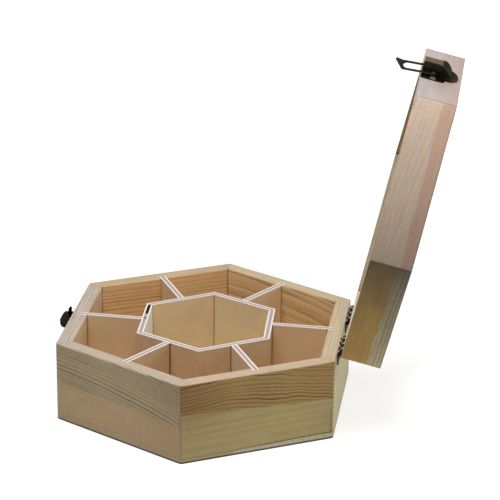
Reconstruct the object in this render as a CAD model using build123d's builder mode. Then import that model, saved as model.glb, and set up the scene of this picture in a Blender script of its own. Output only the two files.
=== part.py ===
from build123d import *
import os
from math import cos, radians, sin, sqrt, tan

# Hexagonal pine jewelry box with a glass lid, seven compartments, two hinges and a duckbill latch.
# Millimetres, +Z up. The origin is the centre of the underside. The latch side faces -Y, the hinge side +Y,
# and two corners of the hexagon lie on the X axis. The lid stands open, leaning back on its hinge stops.

# The box: six mitred walls on a plywood bottom.
side = 125.0
wall = 12.0
wall_height = 61.0
bottom_thickness = 3.0
ease = 0.6

# The insert: a small hexagonal compartment in the middle, turned a little, and six dividers.
ring_radius = 60.0
ring_thickness = 5.0
ring_turn = 2.9
divider_thickness = 5.0
divider_turn = 0.8
groove_depth = 4.5
groove_clearance = 0.1

# The lid: a rebated frame with a pane held by beads.
lid_depth = 31.0
lid_angle = 103.0
lip_thickness = 4.0
rebate = 5.0
glass_thickness = 3.0
glass_clearance = 0.5
bead_height = 7.0
bead_round = 2.5

# The two hinges on the back wall.
hinge_spacing = 61.0
hinge_length = 30.0
leaf_height = 10.0
leaf_thickness = 1.0
leaf_round = 2.0
leaf_gap = 0.6
knuckle_count = 3
knuckle_radius = 2.2
knuckle_gap = 0.3
hinge_pin_radius = 0.9
hinge_pin_head_radius = 1.5
hinge_pin_head = 0.7
running_clearance = 0.06
stop_gap = 0.05
stop_width = 1.25
stop_drop = 1.2

# Screws: round heads with one slot.
screw_clearance = 0.05
slot_width = 0.6
slot_depth = 0.5
head_taper = 25.0
hinge_screw_head_radius = 1.7
hinge_screw_head = 0.8
hinge_screw_radius = 0.8
hinge_screw_length = 6.0
hinge_screw_spacing = 18.0
latch_screw_head_radius = 2.4
latch_screw_head = 1.0
latch_screw_radius = 0.9
latch_screw_length = 9.0
latch_screw_spacing = 28.6

# The latch on the lid's front face. "Up" is away from the rim along the face, "out" is away from the face.
plate_width = 34.4
plate_height = 18.0
plate_rise = 0.3
plate_thickness = 1.0
plate_round = 2.0
plate_screw_up = 9.5
ear_thickness = 1.0
ear_radius = 2.2
ear_foot_rear = 1.7
side_gap = 0.3
lever_axis_up = 4.0
lever_axis_out = 6.0
lever_pin_radius = 0.75
lever_pin_head_radius = 1.3
lever_pin_head = 0.5
sheet = 1.0
lever_rear = 0.4
lever_height = 10.2
lever_half_width = 5.6
lever_rear_underside = 2.4
lever_rear_notch = 0.9
bill_half_width = 12.0
bill_start = 11.0
bill_widest = 19.5
bill_underside = 1.4
lever_flat_end = 13.5
lever_shoulder_up = 18.6
lever_shoulder_out = 7.6
lip_start_up = 22.6
lip_start_out = 2.6
lever_tip_up = 28.0
lever_tip_underside = 0.7
lever_edge_round = 1.3
loop_axis_up = 9.2
loop_axis_out = 3.0
loop_droop = 5.3
loop_half_width = 11.15
loop_bar = 3.0
loop_thickness = 1.0
loop_eye_radius = 1.6
loop_slot_length = 23.4
loop_slot_arch = 3.0
loop_shoulder = 23.6
loop_bend_start = 24.2
loop_bend_angle = 36.0
loop_tip_length = 6.8
loop_tip_half_width = 1.0

# The catch on the box's front face: winged plate, two cheeks with horns, and a belly strip between them.
catch_width = 34.0
wing_top = 2.6
wing_bottom = 8.2
wing_thickness = 0.8
wing_round = 1.2
catch_half_width = 7.15
catch_sheet = 1.2
catch_top = 2.5
catch_bottom = 10.8
catch_reach = 9.8
catch_round = 3.2
catch_root = 0.4
catch_foot = 5.6
catch_belly_bottom = 7.6
catch_belly_top = 5.0
catch_crown = 7.4
catch_lip = 5.3
horn_tip_out = 3.7
horn_tip_up = 2.1
horn_back_out = 2.8
horn_back_up = -1.6

side_count = 6
side_names = ("back_right", "back", "back_left", "front_left", "front", "front_right")
back = side_names.index("back")
front = side_names.index("front")
half_turn = 180.0 / side_count
corner_per_apothem = 1 / cos(radians(half_turn))

apothem = side * cos(radians(half_turn))
inner_apothem = apothem - wall
rebate_apothem = inner_apothem + rebate
rim = bottom_thickness + wall_height
lid_top = rim + lid_depth
glass_top = lid_top - lip_thickness
glass_bottom = glass_top - glass_thickness

hinge_offset = leaf_thickness + knuckle_gap + knuckle_radius
knuckle_pitch = hinge_length / knuckle_count
hinge_places = (-hinge_spacing / 2, hinge_spacing / 2)
hinge_names = ("left", "right")

hinge_line = Location((0, apothem + hinge_offset, rim))
opening = hinge_line * Location((0, 0, 0), (-lid_angle, 0, 0)) * hinge_line.inverse()


def on_lid(plane):
    """The same plane, carried along by the open lid."""
    return Plane(opening * plane.location)


def stay(plane):
    """The plane of a piece that doesn't move with the lid."""
    return plane


def polar(radius, angle):
    return Vector(radius * cos(radians(angle)), radius * sin(radians(angle)))


def side_angle(number):
    """Direction that a side of the hexagon faces."""
    return half_turn + number * 2 * half_turn


def section_plane(angle):
    """Upright plane through the centre: x points out through a side, y up."""
    return Plane(origin=(0, 0, 0), x_dir=(cos(radians(angle)), sin(radians(angle)), 0),
                 z_dir=(sin(radians(angle)), -cos(radians(angle)), 0))


def back_face(out=0.0):
    """Plane on the back face at the rim's height: y up, normal out."""
    return Plane(origin=(0, apothem + out, rim), x_dir=(-1, 0, 0), z_dir=(0, 1, 0))


def front_face(out=0.0):
    """Plane on the front face at the rim's height: x right, y up, normal out."""
    return Plane(origin=(0, -apothem - out, rim), x_dir=(1, 0, 0), z_dir=(0, -1, 0))


def hinge_section(x):
    """Plane across the hinge line: x out of the back wall, y up, origin on the axis."""
    return Plane(origin=(x, apothem + hinge_offset, rim), x_dir=(0, 1, 0), z_dir=(1, 0, 0))


def latch_section(x):
    """Plane across the latch: x up from the rim, y out of the front face."""
    return Plane(origin=(x, -apothem, rim), x_dir=(0, 0, 1), z_dir=(1, 0, 0))


def loop_axis_point(x):
    return (x, -apothem - loop_axis_out, rim + loop_axis_up)


def loop_section(x):
    """Plane across the loop: x from its axis towards its end, y out."""
    along = (0, sin(radians(loop_droop)), -cos(radians(loop_droop)))
    return Plane(origin=loop_axis_point(x), x_dir=along, z_dir=(-1, 0, 0))


def loop_plan():
    """Plane of the loop's bars: y from its axis towards its end."""
    outward = (0, -cos(radians(loop_droop)), -sin(radians(loop_droop)))
    return Plane(origin=loop_axis_point(0), x_dir=(-1, 0, 0), z_dir=outward)


def mitre_wedge(radius, angle, corner_cut):
    """Sector of one side between its two mitres, with the outer corners cut off square."""
    reach = radius / 2
    first = polar(radius - corner_cut, angle - half_turn)
    last = polar(radius - corner_cut, angle + half_turn)
    first_out = first + polar(reach, angle + 2 * half_turn)
    last_out = last + polar(reach, angle - 2 * half_turn)
    return [Vector(0, 0), first, first_out, last_out, last]


def divider_strip(number, width):
    """Strip from the middle of a ring panel to the groove in its wall."""
    inner = polar(ring_radius / corner_per_apothem, side_angle(number) + ring_turn)
    outer = polar(inner_apothem / cos(radians(divider_turn)), side_angle(number) + divider_turn)
    along = (outer - inner).normalized()
    across = Vector(-along.Y, along.X) * (width / 2)
    start = inner - along * ring_thickness
    end = outer + along * wall
    return [start - across, end - across, end + across, start + across]


def screw_places(spacing, up):
    return [(-spacing / 2, up), (spacing / 2, up)]


def hinge_screw_places(place, up):
    return [(-place + x, up) for x in (-hinge_screw_spacing / 2, hinge_screw_spacing / 2)]


all_hinge_up = leaf_gap + leaf_height / 2 + ease
lid_hinge_screws = [p for place in hinge_places for p in hinge_screw_places(place, all_hinge_up)]
base_hinge_screws = [(x, -up) for x, up in lid_hinge_screws]
plate_screws = screw_places(latch_screw_spacing, plate_screw_up)
catch_screws = screw_places(latch_screw_spacing, -(wing_top + wing_bottom) / 2)

os.makedirs("parts", exist_ok=True)


def base_wall(number):
    angle = side_angle(number)
    label = f"base_wall_{side_names[number]}"
    profile = [(apothem, bottom_thickness), (apothem, rim - ease), (apothem - ease, rim),
               (inner_apothem + ease, rim), (inner_apothem, rim - ease), (inner_apothem, bottom_thickness)]
    with BuildPart() as piece:
        with BuildSketch(section_plane(angle)):
            Polygon(*profile, align=None)
        extrude(amount=side / 2, both=True)
        with BuildSketch(Plane.XY.offset(bottom_thickness)):
            Polygon(*mitre_wedge(side, angle, ease), align=None)
        extrude(amount=wall_height, mode=Mode.INTERSECT)
        with BuildSketch(Plane.XY.offset(bottom_thickness)):
            Polygon(*divider_strip(number, divider_thickness + 2 * groove_clearance), align=None)
            RegularPolygon((inner_apothem + groove_depth) * corner_per_apothem, side_count,
                           mode=Mode.INTERSECT)
        extrude(amount=wall_height, mode=Mode.SUBTRACT)
        if number == back:
            with BuildSketch(back_face(leaf_thickness)):
                with Locations(*base_hinge_screws):
                    Circle(hinge_screw_radius + screw_clearance)
            extrude(amount=-hinge_screw_length - screw_clearance, mode=Mode.SUBTRACT)
        if number == front:
            with BuildSketch(front_face(wing_thickness)):
                with Locations(*catch_screws):
                    Circle(latch_screw_radius + screw_clearance)
            extrude(amount=-latch_screw_length - screw_clearance, mode=Mode.SUBTRACT)
    piece.part.label = label
    export_step(piece.part, f"parts/{label}.step")


def bottom_panel():
    with BuildPart() as piece:
        with BuildSketch():
            RegularPolygon(side, side_count)
        extrude(amount=bottom_thickness)
        chamfer(piece.edges().filter_by(Axis.Z), length=2 * ease)
    piece.part.label = "bottom_panel"
    export_step(piece.part, "parts/bottom_panel.step")


def ring_panel(number):
    angle = side_angle(number) + ring_turn
    label = f"ring_panel_{side_names[number]}"
    outer = ring_radius / corner_per_apothem
    with BuildPart() as piece:
        with BuildSketch(Plane.XY.offset(bottom_thickness)):
            Polygon(*mitre_wedge(ring_radius, angle, 0), align=None)
            RegularPolygon(ring_radius, side_count, rotation=ring_turn, mode=Mode.INTERSECT)
            RegularPolygon((outer - ring_thickness) * corner_per_apothem, side_count, rotation=ring_turn,
                           mode=Mode.SUBTRACT)
        extrude(amount=wall_height)
    piece.part.label = label
    export_step(piece.part, f"parts/{label}.step")


def divider(number):
    label = f"divider_{side_names[number]}"
    end_radius = (inner_apothem + groove_depth - groove_clearance) * corner_per_apothem
    with BuildPart() as piece:
        with BuildSketch(Plane.XY.offset(bottom_thickness)):
            Polygon(*divider_strip(number, divider_thickness), align=None)
            RegularPolygon(end_radius, side_count, mode=Mode.INTERSECT)
            RegularPolygon(ring_radius, side_count, rotation=ring_turn, mode=Mode.SUBTRACT)
        extrude(amount=wall_height)
    piece.part.label = label
    export_step(piece.part, f"parts/{label}.step")


def lid_wall(number):
    angle = side_angle(number)
    label = f"lid_wall_{side_names[number]}"
    profile = [(apothem - ease, rim), (apothem, rim + ease), (apothem, lid_top - ease),
               (apothem - ease, lid_top), (inner_apothem + ease, lid_top), (inner_apothem, lid_top - ease),
               (inner_apothem, glass_top), (rebate_apothem, glass_top), (rebate_apothem, rim)]
    with BuildPart() as piece:
        with BuildSketch(on_lid(section_plane(angle))):
            Polygon(*profile, align=None)
        extrude(amount=side / 2, both=True)
        with BuildSketch(on_lid(Plane.XY.offset(rim))):
            Polygon(*mitre_wedge(side, angle, ease), align=None)
        extrude(amount=lid_depth, mode=Mode.INTERSECT)
        if number == back:
            with BuildSketch(on_lid(back_face(leaf_thickness))):
                with Locations(*lid_hinge_screws):
                    Circle(hinge_screw_radius + screw_clearance)
            extrude(amount=-hinge_screw_length - screw_clearance, mode=Mode.SUBTRACT)
        if number == front:
            with BuildSketch(on_lid(front_face(plate_thickness))):
                with Locations(*plate_screws):
                    Circle(latch_screw_radius + screw_clearance)
            extrude(amount=-plate_screw_length - screw_clearance, mode=Mode.SUBTRACT)
    piece.part.label = label
    export_step(piece.part, f"parts/{label}.step")


def glass_pane():
    with BuildPart() as piece:
        with BuildSketch(on_lid(Plane.XY.offset(glass_bottom))):
            RegularPolygon((rebate_apothem - glass_clearance) * corner_per_apothem, side_count)
        extrude(amount=glass_thickness)
    piece.part.label = "glass_pane"
    export_step(piece.part, "parts/glass_pane.step")


def glass_bead(number):
    angle = side_angle(number)
    label = f"glass_bead_{side_names[number]}"
    low = glass_bottom - bead_height
    profile = [(inner_apothem, low), (rebate_apothem, low), (rebate_apothem, glass_bottom),
               (inner_apothem, glass_bottom)]
    with BuildPart() as piece:
        with BuildSketch(on_lid(section_plane(angle))) as section:
            Polygon(*profile, align=None)
            fillet(section.vertices().group_by(Axis.Y)[0].sort_by(Axis.X)[0], radius=bead_round)
        extrude(amount=side / 2, both=True)
        with BuildSketch(on_lid(Plane.XY.offset(low))):
            Polygon(*mitre_wedge(rebate_apothem * corner_per_apothem, angle, 0), align=None)
        extrude(amount=bead_height, mode=Mode.INTERSECT)
    piece.part.label = label
    export_step(piece.part, f"parts/{label}.step")


def hinge_leaf(label, place, carried, up, numbers, places):
    """One leaf with its knuckles. up is 1 for the lid's leaf and -1 for the box's leaf."""
    start = place - hinge_length / 2
    neck = [(-hinge_offset + leaf_thickness / 2, up * leaf_gap), (0, up * leaf_gap), (0, up * knuckle_radius),
            (-hinge_offset + leaf_thickness / 2, up * knuckle_radius)]
    with BuildPart() as piece:
        with BuildSketch(carried(back_face())) as outline:
            with Locations((-place, up * (leaf_gap + leaf_height / 2))):
                Rectangle(hinge_length, leaf_height)
            fillet(outline.vertices().sort_by(Axis.Y, reverse=up < 0)[-2:], radius=leaf_round)
        extrude(amount=leaf_thickness)
        for number in numbers:
            knuckle_start = start + number * knuckle_pitch + knuckle_gap / 2
            with BuildSketch(carried(hinge_section(knuckle_start))):
                Circle(knuckle_radius)
                Polygon(*neck, align=None)
                Circle(hinge_pin_radius + running_clearance, mode=Mode.SUBTRACT)
            extrude(amount=knuckle_pitch - knuckle_gap)
            if up > 0:
                with BuildSketch(hinge_section(knuckle_start)):
                    with Locations((-knuckle_radius - knuckle_gap + stop_gap, -knuckle_radius - stop_drop)):
                        Rectangle(stop_width, knuckle_radius + stop_drop - hinge_pin_head_radius / 2,
                                  align=(Align.MIN, Align.MIN))
                    Circle(hinge_pin_radius + running_clearance, mode=Mode.SUBTRACT)
                extrude(amount=knuckle_pitch - knuckle_gap)
        with BuildSketch(carried(back_face(leaf_thickness))):
            with Locations(*places):
                Circle(hinge_screw_radius + screw_clearance)
        extrude(amount=-leaf_thickness, mode=Mode.SUBTRACT)
    piece.part.label = label
    export_step(piece.part, f"parts/{label}.step")


def hinge_pin(label, place):
    half = hinge_length / 2
    with BuildPart() as piece:
        with BuildSketch(hinge_section(place)):
            Circle(hinge_pin_radius)
        extrude(amount=half, both=True)
        with BuildSketch(hinge_section(place + half)):
            Circle(hinge_pin_head_radius)
        extrude(amount=hinge_pin_head, taper=head_taper)
        with BuildSketch(hinge_section(place - half)):
            Circle(hinge_pin_head_radius)
        extrude(amount=-hinge_pin_head, taper=head_taper)
    piece.part.label = label
    export_step(piece.part, f"parts/{label}.step")


def screws(label, plane, places, head_radius, head, radius, length):
    """A group of separate round-headed screws. The plane lies under their heads."""
    with BuildPart() as group:
        with BuildSketch(plane):
            with Locations(*places):
                Circle(head_radius)
        extrude(amount=head, taper=head_taper)
        with BuildSketch(plane.offset(head)):
            with Locations(*places):
                Rectangle(2 * head_radius, slot_width)
        extrude(amount=-slot_depth, mode=Mode.SUBTRACT)
        with BuildSketch(plane):
            with Locations(*places):
                Circle(radius)
        extrude(amount=-length)
    group.part.label = label
    export_step(group.part, f"parts/{label}.step")


plate_screw_length = min(latch_screw_length, plate_thickness + wall - rebate - 2 * ease)
ear_out = lever_half_width - sheet - side_gap


def latch_plate():
    foot = plate_thickness / 2
    ear = [(lever_axis_up - ear_foot_rear, foot), (lever_axis_up + ear_radius, foot),
           (lever_axis_up + ear_radius, lever_axis_out), (lever_axis_up - ear_radius, lever_axis_out)]
    with BuildPart() as piece:
        with BuildSketch(on_lid(front_face())) as outline:
            with Locations((0, plate_rise)):
                Rectangle(plate_width, plate_height, align=(Align.CENTER, Align.MIN))
            fillet(outline.vertices(), radius=plate_round)
        extrude(amount=plate_thickness)
        for inner in (-ear_out, ear_out - ear_thickness):
            with BuildSketch(on_lid(latch_section(inner))):
                Polygon(*ear, align=None)
                with Locations((lever_axis_up, lever_axis_out)):
                    Circle(ear_radius)
                    Circle(lever_pin_radius + running_clearance, mode=Mode.SUBTRACT)
            extrude(amount=ear_thickness)
        with BuildSketch(on_lid(front_face(plate_thickness))):
            with Locations(*plate_screws):
                Circle(latch_screw_radius + screw_clearance)
        extrude(amount=-plate_thickness, mode=Mode.SUBTRACT)
    piece.part.label = "latch_plate"
    export_step(piece.part, "parts/latch_plate.step")


def cross_pin(label, centre, half, radius, head_radius, head):
    """A pin across the latch with a head at each end."""
    with BuildPart() as piece:
        with BuildSketch(on_lid(latch_section(0))):
            with Locations(centre):
                Circle(radius)
        extrude(amount=half, both=True)
        for place, amount in ((half, head), (-half, -head)):
            with BuildSketch(on_lid(latch_section(place))):
                with Locations(centre):
                    Circle(head_radius)
            extrude(amount=amount, taper=head_taper)
    piece.part.label = label
    export_step(piece.part, f"parts/{label}.step")


def latch_lever():
    tip_length = lever_tip_up - bill_widest
    inner_half_width = lever_half_width - sheet
    with BuildPart() as hollow:
        with BuildSketch(on_lid(latch_section(0))):
            with BuildLine():
                top = Line((lever_rear - sheet, lever_height - sheet),
                           (lever_flat_end - sheet / 2, lever_height - sheet))
                shoulder = ThreePointArc(top @ 1, (lever_shoulder_up - sheet, lever_shoulder_out - sheet),
                                         (lip_start_up - sheet, lip_start_out - sheet / 2))
                Polyline(shoulder @ 1, (lip_start_up - sheet, -sheet), (lever_rear - sheet, -sheet), top @ 0)
            make_face()
        extrude(amount=bill_half_width, both=True)
        with BuildSketch(on_lid(front_face(-2 * sheet))):
            with BuildLine():
                neck = Line((inner_half_width, lever_rear - 2 * sheet), (inner_half_width, bill_start))
                Spline(neck @ 1, (bill_half_width - sheet, bill_widest), tangents=((0, 1), (0, 1)))
                EllipticalCenterArc((0, bill_widest), bill_half_width - sheet, tip_length - sheet,
                                    arc_size=90)
                mirror(about=Plane.YZ)
                Line(neck @ 0, (-inner_half_width, lever_rear - 2 * sheet))
            make_face()
        extrude(amount=lever_height + 2 * sheet, mode=Mode.INTERSECT)

    with BuildPart() as piece:
        with BuildSketch(on_lid(latch_section(0))):
            with BuildLine():
                top = Line((lever_rear, lever_height), (lever_flat_end, lever_height))
                shoulder = ThreePointArc(top @ 1, (lever_shoulder_up, lever_shoulder_out),
                                         (lip_start_up, lip_start_out))
                Polyline(shoulder @ 1, (lever_tip_up, lever_tip_underside + sheet),
                         (lever_tip_up, lever_tip_underside),
                         (plate_rise + plate_height + sheet, bill_underside),
                         (loop_axis_up - loop_eye_radius, bill_underside),
                         (loop_axis_up - loop_eye_radius - sheet, lever_rear_underside),
                         (lever_rear + lever_rear_notch, lever_rear_underside),
                         (lever_rear, lever_rear_underside + lever_rear_notch), top @ 0)
            make_face()
        extrude(amount=bill_half_width + sheet, both=True)
        with BuildSketch(on_lid(front_face())):
            with BuildLine():
                neck = Line((lever_half_width, lever_rear - sheet), (lever_half_width, bill_start))
                Spline(neck @ 1, (bill_half_width, bill_widest), tangents=((0, 1), (0, 1)))
                EllipticalCenterArc((0, bill_widest), bill_half_width, tip_length, arc_size=90)
                mirror(about=Plane.YZ)
                Line(neck @ 0, (-lever_half_width, lever_rear - sheet))
            make_face()
        extrude(amount=lever_height, mode=Mode.INTERSECT)
        add(hollow.part, mode=Mode.SUBTRACT)
        with BuildSketch(on_lid(latch_section(0))):
            with Locations((lever_axis_up, lever_axis_out)):
                Circle(lever_pin_radius + running_clearance)
            with Locations((loop_axis_up, loop_axis_out)):
                Circle(lever_pin_radius + screw_clearance)
        extrude(amount=bill_half_width, both=True, mode=Mode.SUBTRACT)
    piece.part.label = "latch_lever"
    export_step(piece.part, "parts/latch_lever.step")


def latch_loop():
    half = loop_thickness / 2
    slot_straight = loop_slot_length - loop_slot_arch
    rise = radians(loop_bend_angle)
    tip = (loop_bend_start + loop_tip_length * cos(rise), -half + loop_tip_length * sin(rise))
    strip = [(0, -half), (loop_bend_start, -half), tip,
             (tip[0] - loop_thickness * sin(rise), tip[1] + loop_thickness * cos(rise)),
             (loop_bend_start - loop_thickness * tan(rise / 2), half), (0, half)]
    outline = [(-loop_half_width, 0), (loop_half_width, 0), (loop_half_width, loop_shoulder),
               (loop_tip_half_width, tip[0]), (-loop_tip_half_width, tip[0]),
               (-loop_half_width, loop_shoulder)]
    with BuildPart() as piece:
        with BuildSketch(on_lid(loop_section(0))):
            Polygon(*strip, align=None)
        extrude(amount=loop_half_width, both=True)
        with BuildSketch(on_lid(loop_plan().offset(-2 * loop_thickness))):
            Polygon(*outline, align=None)
            Rectangle(2 * (loop_half_width - loop_bar), 2 * slot_straight, mode=Mode.SUBTRACT)
            with Locations((0, slot_straight)):
                Ellipse(loop_half_width - loop_bar, loop_slot_arch, mode=Mode.SUBTRACT)
        extrude(amount=loop_tip_length + 2 * loop_thickness, mode=Mode.INTERSECT)
        for edge in (-loop_half_width, loop_half_width - loop_bar):
            with BuildSketch(on_lid(latch_section(edge))):
                with Locations((loop_axis_up, loop_axis_out)):
                    Circle(loop_eye_radius)
            extrude(amount=loop_bar)
        with BuildSketch(on_lid(latch_section(0))):
            with Locations((loop_axis_up, loop_axis_out)):
                Circle(lever_pin_radius + running_clearance)
        extrude(amount=loop_half_width, both=True, mode=Mode.SUBTRACT)
    piece.part.label = "latch_loop"
    export_step(piece.part, "parts/latch_loop.step")


def catch_plan(half_width, reach, rounding):
    """Outline of the catch's belly from above, its outer corners rounded."""
    with BuildSketch(Plane.XY.offset(rim - 2 * catch_bottom)) as plan:
        with Locations((0, -apothem)):
            Rectangle(2 * half_width, reach, align=(Align.CENTER, Align.MAX))
        fillet(plan.vertices().group_by(Axis.Y)[0], radius=rounding)
    return plan.sketch


def catch():
    """In the section, x is up from the rim and y is out of the box's front face."""
    with BuildPart() as hollow:
        with BuildSketch(latch_section(0)):
            with BuildLine():
                foot = Line((-catch_bottom + catch_sheet, wing_thickness),
                            (-catch_bottom + catch_sheet, catch_foot))
                under = ThreePointArc(foot @ 1, (-(catch_bottom + catch_belly_bottom) / 2 + catch_sheet / 4,
                                                 (catch_foot + catch_reach) / 2 - catch_sheet / 4),
                                      (-catch_belly_bottom, catch_reach - catch_sheet))
                belly = Line(under @ 1, (-catch_belly_top, catch_reach - catch_sheet))
                Polyline(belly @ 1, (-catch_top - catch_sheet, catch_crown - catch_sheet),
                         (-catch_top - catch_sheet, catch_lip), (catch_sheet, catch_lip),
                         (catch_sheet, wing_thickness), foot @ 0)
            make_face()
        extrude(amount=catch_half_width, both=True)
        inner_plan = catch_plan(catch_half_width - catch_sheet, catch_reach - catch_sheet,
                                catch_round - catch_sheet)
        extrude(inner_plan, amount=3 * catch_bottom, mode=Mode.INTERSECT)

    with BuildPart() as piece:
        with BuildSketch(latch_section(0)):
            with BuildLine():
                foot = Line((-catch_bottom, catch_root), (-catch_bottom, catch_foot))
                under = ThreePointArc(foot @ 1, (-(catch_bottom + catch_belly_bottom) / 2 - catch_sheet / 2,
                                                 (catch_foot + catch_reach) / 2 + catch_sheet / 2),
                                      (-catch_belly_bottom, catch_reach))
                belly = Line(under @ 1, (-catch_belly_top, catch_reach))
                over = ThreePointArc(belly @ 1, (-(catch_belly_top + catch_top) / 2 + catch_sheet / 4,
                                                 (catch_reach + catch_crown) / 2 + catch_sheet / 4),
                                     (-catch_top, catch_crown))
                Polyline(over @ 1, (-catch_top, catch_root), foot @ 0)
            make_face()
        extrude(amount=catch_half_width, both=True)
        outer_plan = catch_plan(catch_half_width, catch_reach, catch_round)
        extrude(outer_plan, amount=3 * catch_bottom, mode=Mode.INTERSECT)
        add(hollow.part, mode=Mode.SUBTRACT)
        for inner in (-catch_half_width, catch_half_width - catch_sheet):
            with BuildSketch(latch_section(inner)):
                with BuildLine():
                    rise = ThreePointArc((-catch_top, catch_lip),
                                         (horn_tip_up - catch_top, catch_lip - catch_sheet / 6),
                                         (horn_tip_up, horn_tip_out))
                    fall = ThreePointArc(rise @ 1, (0, horn_back_out - catch_sheet / 2),
                                         (horn_back_up, horn_back_out))
                    Polyline(fall @ 1, (-catch_top, horn_back_out - catch_sheet),
                             (-catch_top - catch_sheet, horn_back_out),
                             (-catch_top - catch_sheet, catch_lip), rise @ 0)
                make_face()
            extrude(amount=catch_sheet)
        with BuildSketch(front_face()) as outline:
            with Locations((0, -wing_top)):
                Rectangle(catch_width, wing_bottom - wing_top, align=(Align.CENTER, Align.MAX))
            fillet(outline.vertices(), radius=wing_round)
            with Locations((0, -wing_top - wing_round)):
                Rectangle(2 * catch_half_width, catch_bottom - wing_top - wing_round,
                          align=(Align.CENTER, Align.MAX))
        extrude(amount=wing_thickness)
        with BuildSketch(front_face(wing_thickness)):
            with Locations(*catch_screws):
                Circle(latch_screw_radius + screw_clearance)
        extrude(amount=-wing_thickness, mode=Mode.SUBTRACT)
    piece.part.label = "catch"
    export_step(piece.part, "parts/catch.step")


for number in range(side_count):
    base_wall(number)
    ring_panel(number)
    divider(number)
    lid_wall(number)
    glass_bead(number)
bottom_panel()
glass_pane()

base_numbers = range(0, knuckle_count, 2)
lid_numbers = range(1, knuckle_count, 2)
for name, place in zip(hinge_names, hinge_places):
    lid_places = hinge_screw_places(place, all_hinge_up)
    base_places = [(x, -up) for x, up in lid_places]
    hinge_leaf(f"hinge_{name}_base_leaf", place, stay, -1, base_numbers, base_places)
    hinge_leaf(f"hinge_{name}_lid_leaf", place, on_lid, 1, lid_numbers, lid_places)
    hinge_pin(f"hinge_{name}_pin", place)

hinge_screw = (hinge_screw_head_radius, hinge_screw_head, hinge_screw_radius, hinge_screw_length)
screws("hinge_base_screws", back_face(leaf_thickness), base_hinge_screws, *hinge_screw)
screws("hinge_lid_screws", on_lid(back_face(leaf_thickness)), lid_hinge_screws, *hinge_screw)

latch_plate()
latch_lever()
latch_loop()
cross_pin("lever_pin", (lever_axis_up, lever_axis_out), lever_half_width + running_clearance,
          lever_pin_radius, lever_pin_head_radius, lever_pin_head)
cross_pin("loop_pin", (loop_axis_up, loop_axis_out), loop_half_width + running_clearance,
          lever_pin_radius, lever_pin_head_radius, lever_pin_head)
screws("latch_plate_screws", on_lid(front_face(plate_thickness)), plate_screws,
       latch_screw_head_radius, latch_screw_head, latch_screw_radius, plate_screw_length)
catch()
screws("catch_screws", front_face(wing_thickness), catch_screws,
       latch_screw_head_radius, latch_screw_head, latch_screw_radius, latch_screw_length)
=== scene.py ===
import bpy
from math import cos, radians, sin, tan
from mathutils import Matrix, Vector

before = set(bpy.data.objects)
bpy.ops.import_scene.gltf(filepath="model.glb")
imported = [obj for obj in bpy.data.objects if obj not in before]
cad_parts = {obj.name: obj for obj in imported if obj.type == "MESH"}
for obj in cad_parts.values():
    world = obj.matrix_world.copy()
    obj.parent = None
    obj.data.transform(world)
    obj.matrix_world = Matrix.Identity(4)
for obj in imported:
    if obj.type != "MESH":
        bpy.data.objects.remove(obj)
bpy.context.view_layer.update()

# Millimetres here, as in the material coordinates. The scene itself is in metres.
MM = 1000.0
SIDE = 125.0
HALF = SIDE / 2
WALL = 12.0
RIM = 64.0
COS30 = cos(radians(30))
TAN30 = tan(radians(30))
APOTHEM = SIDE * COS30
LID_ANGLE = 103.0
HINGE_AXIS = Vector((0, APOTHEM + 3.5, RIM))
RING_RADIUS = 60.0
RING_APOTHEM = RING_RADIUS * COS30
RING_TURN = 2.9
PLY = 5.0
VENEER = 1.3
DIVIDER_TURN = 0.8
DIVIDER_REACH = 43.9
EAST = Vector((1, 0, 0))
NORTH = Vector((0, 1, 0))
UP = Vector((0, 0, 1))

# The sides in order from the +X corner, with the directions that they face in degrees.
SIDES = ("back_right", "back", "back_left", "front_left", "front", "front_right")
ANGLES = {side: 30 + 60 * number for number, side in enumerate(SIDES)}

OPENING = Matrix.Rotation(radians(-LID_ANGLE), 3, "X")


def polar(radius, angle):
    return Vector((radius * cos(radians(angle)), radius * sin(radians(angle)), 0))


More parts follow.
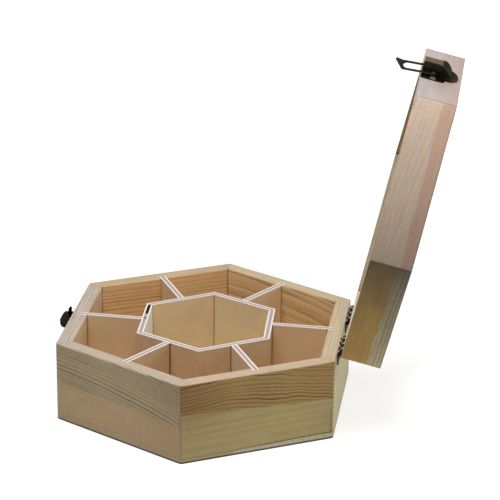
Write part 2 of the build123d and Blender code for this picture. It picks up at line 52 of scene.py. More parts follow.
class Graph:
    """The node tree of a material or of the world, written as calls that return sockets."""

    def __init__(self, name, owners=bpy.data.materials):
        self.owner = owners.new(name)
        self.owner.use_nodes = True
        self.tree = self.owner.node_tree
        self.tree.nodes.clear()

    def node(self, kind, inputs=None, **settings):
        made = self.tree.nodes.new(kind)
        for key, value in settings.items():
            setattr(made, key, value)
        for key, value in (inputs or {}).items():
            self.put(made.inputs[key], value)
        return made

    def put(self, socket, value):
        if isinstance(value, bpy.types.NodeSocket):
            self.tree.links.new(value, socket)
        elif value is not None:
            if socket.type == "RGBA" and len(value) == 3:
                value = (*value, 1)
            socket.default_value = value

    def math(self, operation, a, b=None):
        made = self.node("ShaderNodeMath", operation=operation)
        for socket, value in zip(made.inputs, (a, b)):
            self.put(socket, value)
        return made.outputs[0]

    def add(self, a, b):
        return self.math("ADD", a, b)

    def sub(self, a, b):
        return self.math("SUBTRACT", a, b)

    def mul(self, a, b):
        return self.math("MULTIPLY", a, b)

    def absolute(self, a):
        return self.math("ABSOLUTE", a)

    def total(self, first, *others):
        for other in others:
            first = self.add(first, other)
        return first

    def swing(self, value, amount):
        """A value from 0 to 1 as a deviation of up to half the amount either way."""
        return self.mul(self.sub(value, 0.5), amount)

    def step(self, value, low, high, out_low=0.0, out_high=1.0):
        """Smooth step from out_low at low to out_high at high."""
        made = self.node("ShaderNodeMapRange", interpolation_type="SMOOTHSTEP")
        for socket, item in zip(made.inputs, (value, low, high, out_low, out_high)):
            self.put(socket, item)
        return made.outputs[0]

    def band(self, value, low, high, soft):
        """1 between low and high, with soft borders, and 0 outside."""
        rise = self.step(value, low - soft, low + soft)
        return self.mul(rise, self.step(value, high - soft, high + soft, 1.0, 0.0))

    def mix(self, factor, a, b, blend="MIX"):
        made = self.node("ShaderNodeMix", data_type="RGBA", blend_type=blend)
        for number, value in ((0, factor), (6, a), (7, b)):
            self.put(made.inputs[number], value)
        return made.outputs[2]

    def blend(self, factor, a, b):
        """Like mix, for two values."""
        return self.add(self.mul(a, self.sub(1.0, factor)), self.mul(b, factor))

    def vector(self, x, y, z):
        return self.node("ShaderNodeCombineXYZ", {0: x, 1: y, 2: z}).outputs[0]

    def shifted(self, vector, shift):
        return self.node("ShaderNodeVectorMath", {0: vector, 1: shift}, operation="ADD").outputs[0]

    def dot(self, vector, direction):
        made = self.node("ShaderNodeVectorMath", {0: vector, 1: direction}, operation="DOT_PRODUCT")
        return made.outputs["Value"]

    def noise(self, vector, scale=1.0, detail=2.0, rough=0.5, distortion=0.0):
        inputs = {"Vector": vector, "Scale": scale, "Detail": detail, "Roughness": rough,
                  "Distortion": distortion}
        return self.node("ShaderNodeTexNoise", inputs).outputs["Fac"]

    def streaks(self, place, scales, detail=2.0, rough=0.5, distortion=0.0, rest=()):
        """Noise with a scale of its own along each axis of place. rest fills the axes that are left."""
        scaled = [self.mul(axis, scale) for axis, scale in zip(place, scales)]
        return self.noise(self.vector(*scaled, *rest), 1.0, detail, rough, distortion)

    def white(self, value):
        return self.node("ShaderNodeTexWhiteNoise", {"W": value}, noise_dimensions="1D").outputs["Value"]

    def place(self):
        """The place on the object, in metres."""
        return self.node("ShaderNodeTexCoord").outputs["Object"]

    def coordinates(self, axes):
        """For each (direction, offset) the place along it in millimetres."""
        place = self.place()
        return [self.add(self.dot(place, direction * MM), offset) for direction, offset in axes]

    def facing(self, direction):
        """How far the surface faces a direction, in the object's own frame."""
        return self.dot(self.node("ShaderNodeTexCoord").outputs["Normal"], direction)

    def shaded(self, color, light):
        """The colour times a grey value."""
        grey = self.node("ShaderNodeCombineColor", {0: light, 1: light, 2: light}).outputs[0]
        return self.mix(1.0, color, grey, "MULTIPLY")

    def seen(self):
        """1 for what the camera sees, be it straight, mirrored or through the glass."""
        path = self.node("ShaderNodeLightPath").outputs
        bounced = self.math("MAXIMUM", path["Is Glossy Ray"], path["Is Transmission Ray"])
        return self.math("MAXIMUM", path["Is Camera Ray"], bounced)

    def either(self, factor, a, b):
        """Mix of two shaders."""
        return self.node("ShaderNodeMixShader", {0: factor, 1: a, 2: b}).outputs[0]

    def output(self, shader, kind="ShaderNodeOutputMaterial"):
        self.node(kind, {0: shader})
        return self.owner

    def finish(self, color, roughness, bump, depth, **inputs):
        """Principled shader and output. Other inputs are named with underscores for spaces."""
        shader = self.node("ShaderNodeBsdfPrincipled", {"Base Color": color, "Roughness": roughness})
        for key, value in inputs.items():
            self.put(shader.inputs[key.replace("_", " ")], value)
        made = self.node("ShaderNodeBump", {"Height": bump, "Strength": 1.0, "Distance": depth})
        self.put(shader.inputs["Normal"], made.outputs[0])
        return self.output(shader.outputs[0])


def axes_of(angle, opened=False, radius=APOTHEM):
    """Board frame: along its length, up its height, and depth from its outer face."""
    plain = ((polar(1, angle + 90), 0.0, 1), (UP, 0.0, 1), (polar(1, angle), radius, -1))
    found = []
    for direction, start, sign in plain:
        shift = 0.0
        if opened:
            turned = OPENING @ direction
            shift = HINGE_AXIS.dot(direction) - HINGE_AXIS.dot(turned)
            direction = turned
        found.append((direction * sign, shift * sign + start))
    return found


# Softwood
SEED_STEPS = (1.0, 1.7, 0.6)
GRIME = (0.13, 0.12, 0.085)
FOOT_LINE = (0.09, 0.06, 0.03)
UPRIGHT_LINE = (0.19, 0.12, 0.05)
TORN_FIBRES = ((0.38, 0.31, 0.17), (0.92, 0.83, 0.63))


def figure(g, place, early, late, pith, ring, seed, contrast=0.6, wave=3.0, stretch=0.011, run_out=0.0,
           bow=0.0, vary=0.35, soft=0.25, light_gradient=0.0, tint=None):
    """Softwood figure. Growth rings are tubes round a pith that runs along the board. Returns its colour
    and how dark each point's ring is. A large pith offset gives straight grain, a small one cathedrals.
    A tint, as (colour, amount), comes and goes in long streaks. light_gradient is painted light: it
    lightens the board from one end to the other."""
    along, up, depth = place
    slow = g.vector(g.mul(along, stretch), g.mul(up, 0.03), g.mul(depth, 0.03))
    slow = g.shifted(slow, tuple(seed * each for each in SEED_STEPS))
    warp = g.swing(g.noise(slow, 1.0, 2.5, 0.55), 2 * wave)
    bent = g.mul(g.mul(along, along), bow / HALF ** 2)
    lean = g.sub(g.sub(g.sub(up, pith[0]), g.mul(along, run_out)), bent)
    across = g.add(lean, warp)
    deep = g.sub(depth, pith[1])
    radius = g.math("SQRT", g.add(g.mul(across, across), g.mul(deep, deep)))
    uneven = g.streaks((radius,), (0.07,), 1.0, rest=(seed, 0.0))
    radius = g.add(radius, g.mul(uneven, ring * 4 * vary))
    turns = g.math("DIVIDE", radius, ring)
    phase = g.math("FRACT", turns)
    each = g.white(g.math("FLOOR", g.add(turns, seed)))
    dark = g.mul(g.step(phase, soft, 0.86), g.step(phase, 0.9, 1.0, 1.0, 0.0))
    dark = g.mul(dark, g.step(each, 0.0, 1.0, 0.45, 1.0))
    patchy = g.streaks((along, up), (0.022, 0.08), rest=(seed * 2.3,))
    dark = g.mul(dark, g.step(patchy, 0.32, 0.62, 0.5, 1.0))
    color = g.mix(g.mul(dark, contrast), early, late)
    if tint:
        hue = g.streaks((along, up), (0.012, 0.22), 2.0, 0.6, rest=(6.0,))
        color = g.mix(g.step(hue, 0.42, 0.62, 0.0, tint[1]), color, tint[0])
    # Painted light: the board gets lighter or darker from one end to the other.
    if light_gradient:
        color = g.shaded(color, g.add(g.mul(along, light_gradient / HALF), 1.0))
    return color, dark


def pine(name, angle, opened, outer, top, inner=None, lower=None, split=None, joint=0.85, dirt=None,
         torn=False, sawn=0.22, blotch=0.22, ends=()):
    """Softwood board. Its outer face may be two strips edge-glued at split = (height, slope, blur). sawn
    and blotch say how much saw marks and clouds show. ends are handled ends of the outer face, as (sign,
    tone, how much of it shows at the foot)."""
    g = Graph(name)
    axes = axes_of(angle, opened)
    place = g.coordinates(axes)
    along, up, depth = place
    color, dark = figure(g, place, **outer)
    if lower:
        height, slope, blur = split
        wobble = g.swing(g.streaks((along,), (0.05,), 3.0, rest=(3.0, 0.0)), 4 * blur)
        line = g.add(g.sub(up, g.mul(along, slope)), wobble)
        below = g.step(line, height - blur, height + blur, 1.0, 0.0)
        low_color, low_dark = figure(g, place, **lower)
        color = g.mix(below, color, low_color)
        dark = g.blend(below, dark, low_dark)
    for sign, tone, foot in ends:
        near_end = g.step(g.mul(along, sign), 12.0, HALF)
        handled = g.mul(near_end, g.step(up, 8.0, RIM - 16.0, foot, 1.0))
        color = g.mix(handled, color, tone, "MULTIPLY")
    outward = g.facing(axes[2][0])
    inward = g.step(outward, 0.5, 0.7)
    if inner:
        in_color, in_dark = figure(g, place, **inner)
        color = g.mix(inward, color, in_color)
        dark = g.blend(inward, dark, in_dark)
    level = g.absolute(g.facing(axes[1][0]))
    line = g.streaks(place, (0.012, 0.55, 0.75), 3.0, 0.65)
    color = g.mix(g.step(level, 0.8, 0.9), color, g.mix(g.step(line, 0.38, 0.66), *top))

    # Light and dark: fibres, streaks, clouds, saw marks, mitre joints, and painted shade on the eased edges.
    fibre = g.streaks(place, (0.06, 2.0, 2.0), 3.0, 0.65)
    streak = g.streaks(place, (0.02, 0.35, 0.35))
    clouds = g.streaks((along, up), (0.03, 0.06), 3.0, rest=(outer["seed"],))
    marks = g.streaks(place, (0.9, 0.07, 0.07), 2.0, 0.6)
    light = g.total(g.swing(fibre, 0.34), g.swing(streak, 0.2), g.swing(clouds, blotch), g.swing(marks, sawn))
    # Painted shade: the eased edges and outer corners are darkened.
    eased_edge_shade = g.mul(g.band(level, 0.5, 0.85, 0.05), 0.25)
    eased_corner_shade = g.mul(g.band(outward, -0.94, -0.8, 0.03), 0.06)
    light = g.sub(g.add(light, 1.0), g.add(eased_edge_shade, eased_corner_shade))
    to_mitre = g.sub(g.mul(g.sub(APOTHEM, depth), TAN30), g.absolute(along))
    to_mitre = g.mul(to_mitre, COS30)
    light = g.mul(light, g.step(to_mitre, 0.05, 0.6, joint, 1.0))
    # Painted shade in the inner corners, on top of the mitre joint line of the inner faces.
    light = g.sub(light, g.mul(g.step(to_mitre, 0.1, 0.9, 0.5, 0.0), inward))
    color = g.shaded(color, light)
    if dirt:
        end = g.step(g.mul(along, dirt), HALF - 1.5, HALF - 0.3)
        soiled = g.mul(end, g.step(depth, 0.6, 1.6, 1.0, 0.0))
        color = g.mix(g.mul(soiled, 0.7), color, GRIME)
    if torn:
        color = torn_edge(g, along, up, color)
    relief = g.add(g.mul(dark, 0.5), g.mul(fibre, 0.8))
    rough = g.add(0.52, g.swing(fibre, 0.2))
    return g.finish(color, rough, relief, 0.00012, Specular_IOR_Level=0.32)


def torn_edge(g, along, up, color):
    """A strip of torn, paler fibres at the foot of a wall, wider towards one end, with a brown line over
    it and another up that end."""
    top = g.step(along, -24.0, 50.0, 3.6, 5.1)
    fleck = g.streaks((along, up), (0.7, 1.6), 3.0, 0.75, rest=(4.0,))
    strip = g.mul(g.step(g.sub(top, up), -0.2, 0.3), g.step(along, -24.0, -16.0))
    color = g.mix(g.mul(strip, 0.85), color, g.mix(g.step(fleck, 0.34, 0.56), *TORN_FIBRES))
    dots = g.streaks((along,), (0.9,), 3.0, 0.8, rest=(0.0, 9.0))
    dashes = g.mul(g.step(dots, 0.42, 0.54), g.step(along, -15.0, 10.0))
    over = g.mul(g.band(g.sub(up, top), 0.0, 1.0, 0.25), dashes)
    color = g.mix(g.mul(over, 0.9), color, FOOT_LINE)
    upright = g.mul(g.band(along, 60.0, 60.9, 0.25), g.band(up, 5.0, 25.0, 2.0))
    return g.mix(g.mul(upright, 0.6), color, UPRIGHT_LINE)


# Plywood
JOINT_SHADE_BROWN = (0.18, 0.076, 0.014)
OUTER_PLY = ((0.93, 0.88, 0.84), (0.76, 0.65, 0.57))
INNER_PLY = ((0.45, 0.385, 0.39), (0.315, 0.2695, 0.273))
GLUE = (0.26, 0.19, 0.15)
VOID_SHADE = (0.004, 0.003, 0.002)
BOTTOM_FACE = (0.66, 0.50, 0.33)
BOTTOM_EDGE = ((0.56, 0.48, 0.27), (0.58, 0.46, 0.29))
FOOT_EDGE_GREY = (0.085, 0.082, 0.065)


def plywood(name, axes, inner_face, outer_face, voids=(), shadows=()):
    """Three-ply panel: a smooth face, and plies on its upper edge. voids are holes in the middle ply, painted
    near black as shade, as (from, to, darkness). shadows are painted shade lines, dark and upright, at
    the joints on the outer face (side -1), the inner one (side 1) or both (side 0), as (side, place
    along, half width, darkness)."""
    g = Graph(name)
    place = g.coordinates(axes)
    along, up, depth = place
    cloud = g.streaks(place, (0.03, 0.055, 0.02), 3.0, 0.55, 1.2)
    fibre = g.streaks(place, (0.07, 1.1, 1.6), 3.0, 0.6)
    pores = g.streaks(place, (0.09, 0.55, 0.4), 2.0, 0.7)
    light = g.total(g.swing(cloud, 0.24), g.swing(fibre, 0.12), g.step(pores, 0.6, 0.72, 0.0, -0.13), 1.0)
    inward = g.facing(axes[2][0])
    skin = g.shaded(g.mix(g.step(inward, -0.2, 0.2), outer_face, inner_face), light)
    # Painted shade: a dark brown line where a panel meets its neighbour.
    for side, middle, half, darkness in shadows:
        there = g.step(g.absolute(g.sub(along, middle)), half, half * 0.5, 0.0, darkness)
        if side:
            there = g.mul(there, g.step(g.mul(inward, side), 0.3, 0.6))
        skin = g.mix(there, skin, JOINT_SHADE_BROWN)

    grit = g.streaks(place, (1.2, 2.4, 2.2), 3.0, 0.7)
    outer_ply = g.mix(g.step(grit, 0.3, 0.75), *OUTER_PLY)
    inner_ply = g.mix(g.step(grit, 0.35, 0.7), *INNER_PLY)
    plies = g.mix(g.band(depth, VENEER, PLY - VENEER, 0.15), outer_ply, inner_ply)
    glue = g.add(*(g.band(depth, seam - 0.15, seam + 0.15, 0.08) for seam in (VENEER, PLY - VENEER)))
    plies = g.mix(g.mul(glue, 0.4), plies, GLUE)
    holes = 0.0
    for low, high, darkness in voids:
        hole = g.mul(g.band(along, low, high, 0.4), g.band(depth, VENEER, PLY - VENEER, 0.1))
        # Painted shade: the hole in the core ply is painted near black.
        plies = g.mix(g.mul(hole, darkness), plies, VOID_SHADE)
        holes = g.add(hole, holes)
    color = g.mix(g.step(g.absolute(g.facing(UP)), 0.6, 0.8), skin, plies)
    rough = g.total(0.55, g.swing(fibre, 0.15), g.mul(holes, 0.45))
    return g.finish(color, rough, g.add(fibre, g.mul(grit, 0.3)), 0.00006, Specular_IOR_Level=0.28)


def bottom_plywood(name):
    """The thin bottom: a smooth face, and a sawn edge whose lowest ply is dark grey. The torn
    fibres of the wall above run over its back right edge."""
    g = Graph(name)
    place = g.coordinates([(EAST, 0.0), (NORTH, 0.0), (UP, 0.0)])
    east, north, up = place
    cloud = g.streaks((east, north), (0.012, 0.05), 3.0, 0.6, 1.0, rest=(up,))
    fibre = g.streaks(place, (0.07, 1.2, 1.2), 3.0, 0.6)
    light = g.total(1.0, g.swing(cloud, 0.3), g.swing(fibre, 0.2))
    front_right = g.step(g.facing(polar(1, -30)), 0.6, 0.8)
    edge = g.shaded(g.mix(front_right, *BOTTOM_EDGE), light)
    along = g.coordinates(axes_of(ANGLES["back_right"]))[0]
    back_right = g.step(g.facing(polar(1, 30)), 0.6, 0.8)
    edge = g.mix(back_right, edge, torn_edge(g, along, up, edge))
    uneven = g.streaks((east, north), (0.3, 0.3), 3.0, 0.6, rest=(2.0,))
    # The edge turns dark grey along its lowest millimetre or so.
    edge = g.mix(g.step(g.add(up, g.swing(uneven, 0.8)), 1.0, 1.7, 1.0, 0.0), edge, FOOT_EDGE_GREY)
    color = g.mix(g.step(g.absolute(g.facing(UP)), 0.6, 0.8), edge, g.shaded(BOTTOM_FACE, light))
    return g.finish(color, g.add(0.56, g.swing(fibre, 0.15)), fibre, 0.00006, Specular_IOR_Level=0.25)


# Metal and glass
METAL_TINT = (0.3, 0.27, 0.23)
RUB_RADIUS = 0.0006
KNUCKLE = 3.2


def worn_metal(name, base, edge, rough, wear, spots=0.5, knuckle_highlights=None, highlight_and_wear_lines=(), flank_shade=1.0, deep=None):
    """Dark patina, rubbed through to brighter metal at the edges. knuckle_highlights = (start, pitch) paints
    a highlight on the middle of each knuckle along the hinge line, darker towards the gaps.
    highlight_and_wear_lines are strips on the latch, painted highlight mixed with wear, as (axis, low,
    high, blur, amount). flank_shade is painted shade on faces that look along the hinge line, and deep =
    (low, high, tone) painted shade on the latch beyond a height on the lid."""
    g = Graph(name)
    place = g.place()
    coarse = g.noise(place, 260.0, 3.0, 0.6)
    fine = g.noise(place, 1400.0, 2.0, 0.6)
    specks = g.noise(place, 900.0, 2.0, 0.7)
    rounded = g.node("ShaderNodeBevel", {"Radius": RUB_RADIUS}, samples=6).outputs[0]
    same = g.dot(rounded, g.node("ShaderNodeNewGeometry").outputs["Normal"])
    wear_and_highlight = g.step(g.add(same, g.swing(coarse, 0.12)), 0.985, 0.84)
    wear_and_highlight = g.mul(g.add(wear_and_highlight, g.mul(g.step(specks, 0.56, 0.7), spots)), wear)
    # Painted highlight on the middle of each hinge knuckle, darker towards the gaps.
    if knuckle_highlights:
        start, pitch = knuckle_highlights
        line = g.absolute(g.mul(g.node("ShaderNodeSeparateXYZ", {0: place}).outputs[0], MM))
        inside = g.math("FRACT", g.math("DIVIDE", g.sub(line, start), pitch))
        bright = g.add(g.mul(wear_and_highlight, 0.25), g.mul(g.band(inside, 0.34, 0.66, 0.1), 0.7))
        north, up = g.coordinates([(NORTH, -HINGE_AXIS.y), (UP, -HINGE_AXIS.z)])
        off = g.math("SQRT", g.add(g.mul(north, north), g.mul(up, up)))
        wear_and_highlight = g.blend(g.step(off, KNUCKLE, KNUCKLE + 1.0, 1.0, 0.0), wear_and_highlight, bright)
    front = axes_of(ANGLES["front"], True)
    # Painted highlight mixed with wear: bright strips along the latch lever's top and edge.
    if highlight_and_wear_lines:
        lines = g.coordinates(front)
        for axis, low, high, blur, amount in highlight_and_wear_lines:
            wear_and_highlight = g.add(wear_and_highlight, g.mul(g.band(lines[axis], low, high, blur), amount))
    wear_and_highlight = g.math("MINIMUM", wear_and_highlight, 1.0)
    color = g.shaded(g.mix(wear_and_highlight, base, edge), g.add(0.75, g.mul(fine, 0.5)))
    # Painted shade: faces that look along the hinge line are darkened.
    if flank_shade < 1.0:
        sideways = g.absolute(g.facing(EAST))
        color = g.shaded(color, g.step(sideways, 0.6, 0.85, 1.0, flank_shade))
    # Painted shade: the latch is darkened beyond a height on the lid.
    if deep:
        low, high, tone = deep
        color = g.shaded(color, g.step(g.coordinates(front)[1], low, high, 1.0, tone))
    roughness = g.add(rough, g.swing(coarse, 0.3))
    relief = g.add(coarse, g.mul(fine, 0.4))
    return g.finish(color, roughness, relief, 0.00003, Metallic=g.step(wear_and_highlight, 0.0, 0.5, 0.9, 1.0),
                    Specular_Tint=METAL_TINT)


def clear_glass(name):
    """Faintly green pane. Light and shadow pass through it without bending."""
    g = Graph(name)
    rough = g.step(g.noise(g.place(), 30.0, 2.0), 0.4, 0.9, 0.0, 0.03)
    pane = g.node("ShaderNodeBsdfPrincipled", {"Base Color": (0.93, 0.975, 0.955), "Roughness": rough,
                                               "IOR": 1.5, "Transmission Weight": 1.0})
    through = g.node("ShaderNodeBsdfTransparent", {"Color": (0.92, 0.96, 0.94)})
    path = g.node("ShaderNodeLightPath").outputs
    lit = g.math("MAXIMUM", path["Is Shadow Ray"], path["Is Diffuse Ray"])
    return g.output(g.either(lit, pane.outputs[0], through.outputs[0]))


# The looks of the boards. Each has its own tones and figure, worked out from the photograph.
straight = dict(early=(0.76, 0.50, 0.26), late=(0.50, 0.26, 0.10), pith=(120, 30), ring=4.0, wave=2.5,
                contrast=0.7)
wall_looks = {
    "front_right": dict(
        outer=dict(early=(0.575, 0.45, 0.28), late=(0.09, 0.06, 0.028), pith=(170, 20), ring=2.6, seed=3.1,
                   contrast=0.95, wave=1.6, run_out=-0.12, bow=-3.5, vary=0.7, soft=0.5),
        lower=dict(early=(0.64, 0.45, 0.265), late=(0.46, 0.31, 0.155), pith=(-150, 20), ring=3.4, seed=8.3,
                   contrast=0.4, wave=3.0, vary=0.6, tint=((0.62, 0.47, 0.24), 0.5)),
        split=(31.5, -0.035, 0.8), inner=dict(straight, seed=31.0),
        top=((0.53, 0.45, 0.365), (0.38, 0.31, 0.235)), dirt=-1.0, sawn=0.42,
        ends=((1, (0.82, 0.80, 0.78), 0.4), (-1, (0.94, 0.93, 0.93), 0.4))),
    "back_right": dict(
        outer=dict(early=(0.49, 0.322, 0.12), late=(0.12, 0.042, 0.009), pith=(92, 10), ring=3.2, seed=7.7,
                   contrast=0.95, wave=5.0, stretch=0.026, run_out=-0.06, bow=-5.0, vary=1.0, soft=0.3,
                   light_gradient=0.04),
        lower=dict(early=(0.57, 0.455, 0.215), late=(0.35, 0.275, 0.11), pith=(-90, 30), ring=6.2, seed=2.9,
                   contrast=0.65, wave=1.8, run_out=0.02, vary=0.4, soft=0.45),
        split=(36.5, -0.05, 1.0), inner=dict(straight, seed=32.0),
        top=((0.57, 0.45, 0.33), (0.45, 0.335, 0.22)), torn=True, ends=((-1, (0.73, 0.64, 0.58), 0.1),)),
    "back": dict(
        outer=dict(early=(0.70, 0.605, 0.32), late=(0.49, 0.385, 0.17), pith=(120, 50), ring=3.6, seed=11.3),
        inner=dict(straight, seed=33.0), top=((0.60, 0.495, 0.34), (0.42, 0.34, 0.22))),
    "back_left": dict(
        outer=dict(early=(0.66, 0.50, 0.30), late=(0.44, 0.28, 0.13), pith=(130, 40), ring=4.5, seed=2.2),
        inner=dict(early=(0.80, 0.575, 0.30), late=(0.28, 0.12, 0.035), pith=(76, 5), ring=6.5, seed=2.2,
                   contrast=0.65, wave=4.0, run_out=0.1, bow=-4.0, vary=1.3, soft=0.1),
        top=((0.59, 0.475, 0.315), (0.43, 0.33, 0.20))),
    "front_left": dict(
        outer=dict(early=(0.66, 0.50, 0.33), late=(0.46, 0.29, 0.15), pith=(170, 30), ring=4.3, seed=5.9,
                   wave=2.5),
        inner=dict(early=(0.82, 0.535, 0.265), late=(0.30, 0.125, 0.035), pith=(170, -20), ring=3.4,
                   seed=5.9, contrast=0.75, wave=1.4, run_out=0.01, vary=0.4, soft=0.5),
        top=((0.56, 0.42, 0.27), (0.42, 0.295, 0.175))),
    "front": dict(
        outer=dict(early=(0.62, 0.50, 0.36), late=(0.46, 0.34, 0.22), pith=(110, 30), ring=3.2, seed=9.4),
        inner=dict(straight, seed=34.0, early=(0.78, 0.62, 0.43)),
        top=((0.56, 0.475, 0.41), (0.34, 0.285, 0.225))),
}
LID_TOP = ((0.70, 0.56, 0.42), (0.56, 0.42, 0.29))
LID_JOINT = 0.6
lid_front = dict(late=(0.29, 0.20, 0.15), pith=(120, 60), ring=6.0, seed=8.6, contrast=0.45, wave=4.0)
# The lid's front right and back right boards carry painted light: a brightness gradient down the open lid.
lid_looks = {
    "front_right": dict(
        outer=dict(early=(0.41, 0.275, 0.21), late=(0.32, 0.20, 0.145), pith=(40, -40), ring=4.2, seed=13.2,
                   contrast=0.55, light_gradient=-0.38),
        lower=dict(early=(0.47, 0.365, 0.30), late=(0.29, 0.205, 0.14), pith=(62, 2), ring=2.8, seed=15.1,
                   wave=4.0, stretch=0.018, run_out=-0.1, vary=0.9, soft=0.45, light_gradient=-0.38,
                   tint=((0.46, 0.375, 0.235), 0.4)),
        split=(85.5, 0.01, 1.1)),
    "back_right": dict(
        outer=dict(early=(0.52, 0.435, 0.265), late=(0.24, 0.20, 0.12), pith=(170, 20), ring=2.6, seed=4.8,
                   contrast=0.8, wave=1.5, run_out=-0.02, light_gradient=0.72),
        lower=dict(early=(0.46, 0.285, 0.082), late=(0.255, 0.15, 0.036), pith=(40, 30), ring=3.4, seed=6.6,
                   contrast=0.4, wave=4.0, stretch=0.08, vary=1.5, light_gradient=0.72,
                   tint=((0.495, 0.33, 0.09), 0.25)),
        split=(84.5, -0.02, 1.2), sawn=0.35, blotch=0.8),
    "front": dict(
        outer=dict(lid_front, early=(0.38, 0.295, 0.26)),
        lower=dict(lid_front, early=(0.40, 0.345, 0.34), late=(0.30, 0.235, 0.20)),
        split=(81.0, 0.0, 5.0)),
    "back": dict(
        outer=dict(early=(0.62, 0.50, 0.34), late=(0.45, 0.31, 0.17), pith=(110, 40), ring=4.4, seed=1.5)),
    "back_left": dict(
        outer=dict(early=(0.63, 0.51, 0.35), late=(0.46, 0.32, 0.18), pith=(-50, 40), ring=4.8, seed=6.4)),
    "front_left": dict(
        outer=dict(early=(0.64, 0.51, 0.35), late=(0.47, 0.32, 0.18), pith=(130, 50), ring=3.8, seed=10.1)),
}
lid_inner = dict(straight, early=(0.66, 0.53, 0.42), late=(0.50, 0.38, 0.27))
# Painted shade: the two far lid boards' inner faces are darker copies of the lid's inner wood.
shaded_lid_inners = {
    "front_left": dict(straight, early=(0.62, 0.42, 0.20), late=(0.42, 0.25, 0.10)),
    "back_left": dict(straight, early=(0.42, 0.335, 0.25), late=(0.32, 0.24, 0.165)),
}
LID_INNER_SEED = 40.0
bead = dict(early=(0.74, 0.58, 0.40), late=(0.55, 0.38, 0.22), pith=(90, -30), ring=3.0)
BEAD_SEED = 20.0

# The looks of the plywood: faces that differ from the rest, one lightened with painted light, the void in
# one ring panel's edge, painted near black as shade, and painted shade lines where the panels meet.
RING_INSIDE = (0.77, 0.605, 0.38)
RING_OUTSIDE = (0.72, 0.53, 0.325)
DIVIDER_FACE = (0.76, 0.565, 0.35)
ring_insides_with_painted_light = {
    # Painted light: the front panel's inside is lightened nearly to white, for the light it catches.
    "front": (0.94, 0.92, 0.82),
    "front_left": (0.75, 0.595, 0.37),
    "back_left": (0.73, 0.59, 0.37),
}
divider_faces = {
    "back_right": (0.78, 0.62, 0.43),
    "back_left": (0.84, 0.63, 0.39),
    "front_right": (0.71, 0.515, 0.315),
}
ring_voids = {"front": ((-27.0, -9.0, 1.0), (-1.5, 0.8, 0.9))}
divider_joint = PLY / 2 + 0.3
inner_corner = RING_RADIUS / 2 - PLY * TAN30
ring_shadows = [(-1, sign * divider_joint, 0.7, 0.75) for sign in (-1, 1)]
ring_shadows += [(1, sign * inner_corner, 0.8, 0.6) for sign in (-1, 1)]
divider_shadows = [(0, 0.0, 1.0, 0.85), (0, DIVIDER_REACH, 0.7, 0.6)]


def dress(node, material):
    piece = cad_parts[node]
    if not piece.material_slots:
        piece.data.materials.append(material)
    for slot in piece.material_slots:
        slot.material = material


def divider_axes(angle):
    """Divider frame: along it from the ring outwards, up, and across its thickness."""
    inner_end = polar(RING_APOTHEM, angle + RING_TURN)
    outer_end = polar((APOTHEM - WALL) / cos(radians(DIVIDER_TURN)), angle + DIVIDER_TURN)
    along = (outer_end - inner_end).normalized()
    across = Vector((-along.y, along.x, 0))
    return [(along, -along.dot(inner_end)), (UP, 0.0), (across, PLY / 2 - across.dot(inner_end))]


for number, side in enumerate(SIDES):
    angle = ANGLES[side]
    inside = dict(shaded_lid_inners.get(side, lid_inner), seed=LID_INNER_SEED + number)
    bead_figure = dict(bead, seed=BEAD_SEED + number)
    ring_axes = axes_of(angle + RING_TURN, radius=RING_APOTHEM)
    ring_inside = ring_insides_with_painted_light.get(side, RING_INSIDE)
    divider_face = divider_faces.get(side, DIVIDER_FACE)
    dress(f"base_wall_{side}", pine(f"pine base {side}", angle, False, **wall_looks[side]))
    dress(f"lid_wall_{side}", pine(f"pine lid {side}", angle, True, top=LID_TOP, inner=inside,
                                   joint=LID_JOINT, **lid_looks[side]))
    dress(f"glass_bead_{side}", pine(f"pine bead {side}", angle, True, bead_figure, LID_TOP, joint=1.0))
    dress(f"ring_panel_{side}", plywood(f"plywood ring {side}", ring_axes, ring_inside, RING_OUTSIDE,
                                        ring_voids.get(side, ()), ring_shadows))
    dress(f"divider_{side}", plywood(f"plywood divider {side}", divider_axes(angle), divider_face,
                                     divider_face, shadows=divider_shadows))
dress("bottom_panel", bottom_plywood("plywood bottom"))
dress("glass_pane", clear_glass("pane glass"))

latch_metal = worn_metal("antique bronze", (0.055, 0.045, 0.035), (0.44, 0.36, 0.25), 0.42, 0.5, spots=0.7,
                         highlight_and_wear_lines=((2, -12.0, -9.7, 0.3, 0.6), (2, -2.4, -1.2, 0.4, 0.25)), flank_shade=0.4,
                         deep=(RIM + 12.5, RIM + 16.0, 0.5))
loop_metal = worn_metal("steel with patina", (0.05, 0.047, 0.045), (0.11, 0.10, 0.09), 0.5, 0.5)
dark_metal = worn_metal("dark bronze", (0.012, 0.011, 0.010), (0.26, 0.25, 0.22), 0.32, 0.3)
hinge_metal = worn_metal("hinge bronze", (0.004, 0.0035, 0.003), (0.66, 0.62, 0.50), 0.3, 0.4,
                         knuckle_highlights=(15.5, 10.0))
plate_metal = worn_metal("plate bronze", (0.022, 0.017, 0.010), (0.30, 0.22, 0.10), 0.42, 0.5)
bright_metal = worn_metal("bright screw", (0.15, 0.115, 0.07), (0.66, 0.56, 0.42), 0.36, 0.7)
metals = {
    hinge_metal: [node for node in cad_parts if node.startswith("hinge")],
    latch_metal: ("latch_lever", "loop_pin", "lever_pin"),
    plate_metal: ("latch_plate",),
    loop_metal: ("latch_loop",),
    bright_metal: ("latch_plate_screws",),
    dark_metal: ("catch", "catch_screws"),
}
for metal, nodes in metals.items():
    for node in nodes:
        dress(node, metal)

# The set
FLOOR_HALF = 6
FLOOR_DROP = 0.0002
FLOOR_GREY = (0.42, 0.42, 0.42)
WHITE = (1, 1, 1)
WARM_WHITE = (1.0, 0.985, 0.96)
AMBIENT = 0.2


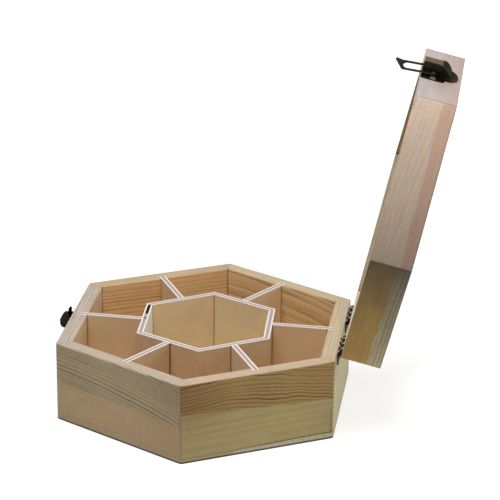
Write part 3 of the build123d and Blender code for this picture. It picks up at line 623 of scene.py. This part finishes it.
def stage_material(name, color):
    """Plain paint, with white added for what the camera sees, less near the object."""
    g = Graph(name)
    place = g.place()
    away = g.node("ShaderNodeVectorMath", {0: place}, operation="LENGTH").outputs["Value"]
    glow = g.step(away, 0.25, 0.9, 0.77, 1.0)
    tone = g.shaded(color, g.step(g.noise(place, 6.0, 2.0), 0.2, 0.8, 0.97, 1.0))
    paint = g.node("ShaderNodeBsdfDiffuse", {"Color": tone}).outputs[0]
    light = g.node("ShaderNodeEmission", {"Color": WHITE, "Strength": glow}).outputs[0]
    both = g.node("ShaderNodeAddShader", {0: paint, 1: light}).outputs[0]
    return g.output(g.either(g.seen(), paint, both))


floor_mesh = bpy.data.meshes.new("floor")
corners = [(x * FLOOR_HALF, y * FLOOR_HALF, 0) for x, y in ((-1, -1), (1, -1), (1, 1), (-1, 1))]
floor_mesh.from_pydata(corners, [], [(0, 1, 2, 3)])
floor = bpy.data.objects.new("floor", floor_mesh)
bpy.context.scene.collection.objects.link(floor)
floor.data.materials.append(stage_material("floor paint", FLOOR_GREY))
floor.location = (0, 0, -FLOOR_DROP)

sky = Graph("studio", bpy.data.worlds)
ambient = sky.node("ShaderNodeBackground", {0: WARM_WHITE, 1: AMBIENT}).outputs[0]
backdrop = sky.node("ShaderNodeBackground", {0: WHITE, 1: 1.0}).outputs[0]
bpy.context.scene.world = sky.output(sky.either(sky.seen(), ambient, backdrop), "ShaderNodeOutputWorld")


def softbox(name, place, aim, size, power):
    """Round area light, which lights the scene without showing in the pane."""
    lamp = bpy.data.lights.new(name, "AREA")
    lamp.shape = "DISK"
    lamp.size = size
    lamp.energy = power
    lamp.color = WARM_WHITE
    made = bpy.data.objects.new(name, lamp)
    made.location = place
    made.rotation_euler = (Vector(place) - Vector(aim)).to_track_quat("Z", "Y").to_euler()
    made.visible_glossy = False
    made.visible_transmission = False
    bpy.context.scene.collection.objects.link(made)


softbox("overhead softbox", (0.22, -0.02, 0.98), (0.1, 0, 0.05), 0.9, 9.6)
softbox("far fill", (-0.2, 1.5, 0.35), (0, 0.1, 0.05), 0.9, 6.0)

# The camera, solved from the corners of the box and the lid. Metres, degrees and the photo's pixels.
AZIMUTH = 97.792
ELEVATION = 21.360
ROLL = 0.615
AIM = Vector((0.02713, 0.03746, 0.13709))
DISTANCE = 1.6519
FOCAL_PIXELS = 2157.73
PHOTO_PIXELS = 500
SENSOR = 36.0

azimuth, elevation, roll = radians(AZIMUTH), radians(ELEVATION), radians(ROLL)
back = Vector((sin(azimuth) * cos(elevation), -cos(azimuth) * cos(elevation), sin(elevation)))
right = Vector((cos(azimuth), sin(azimuth), 0))
above = back.cross(right)
turned_right = right * cos(roll) + above * sin(roll)
turned_above = above * cos(roll) - right * sin(roll)
lens = bpy.data.cameras.new("camera")
lens.sensor_width = SENSOR
lens.lens = FOCAL_PIXELS / PHOTO_PIXELS * SENSOR
camera = bpy.data.objects.new("camera", lens)
turn = Matrix((turned_right, turned_above, back)).transposed().to_4x4()
camera.matrix_world = Matrix.Translation(AIM + back * DISTANCE) @ turn
bpy.context.scene.collection.objects.link(camera)
bpy.context.scene.camera = camera
bpy.context.scene.view_settings.view_transform = "Standard"


def plain(bounds):
    return [[float(c) for c in corner] for corner in bounds]
